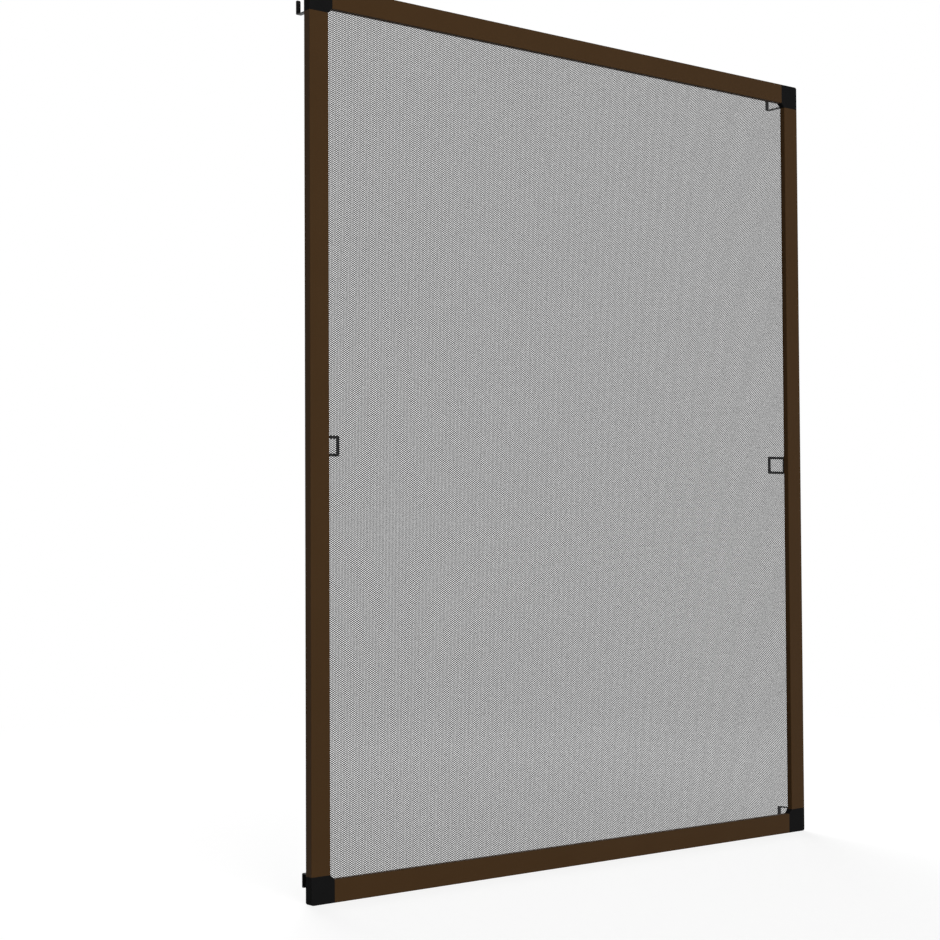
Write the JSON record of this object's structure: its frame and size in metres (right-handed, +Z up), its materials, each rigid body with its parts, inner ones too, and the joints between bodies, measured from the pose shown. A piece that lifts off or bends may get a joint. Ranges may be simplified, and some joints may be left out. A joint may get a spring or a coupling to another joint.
{
  "type": "window insect screen",
  "caption": "Clip-on insect screen for a window: slim bar frame with moulded corners, hooks behind, finger grips and a taut net held in the groove by a cord.",
  "frame": {"origin": "on the flat back of the bottom rail, at mid width, 9.5 mm above the bottom edge", "axes": "+X to the right seen from the front, +Y from the outdoor face to the indoor side that lies on the window, +Z up"},
  "size_m": [0.8, 0.0417, 1],
  "materials": {
    "brown_powder_coat": "satin, fine texture",
    "black_moulding": "matt moulded plastic",
    "black_grip": "satin moulded plastic",
    "black_steel": "satin black coat",
    "grey_cord": "matt ribbed rubber",
    "grey_net": "coated glass-fibre threads"
  },
  "bodies": {
    "root": {"left_stile": "brown_powder_coat", "right_stile": "brown_powder_coat", "bottom_rail": "brown_powder_coat", "top_rail": "brown_powder_coat", "bottom_left_corner": "black_moulding", "bottom_right_corner": "black_moulding", "top_left_corner": "black_moulding", "top_right_corner": "black_moulding", "bottom_left_hook": "black_steel", "bottom_right_hook": "black_steel", "top_left_hook": "black_steel", "top_right_hook": "black_steel", "left_handle": "black_grip", "right_handle": "black_grip", "left_spline": "grey_cord", "right_spline": "grey_cord", "bottom_spline": "grey_cord", "top_spline": "grey_cord", "insect_mesh": "grey_net"}
  },
  "joints": []
}
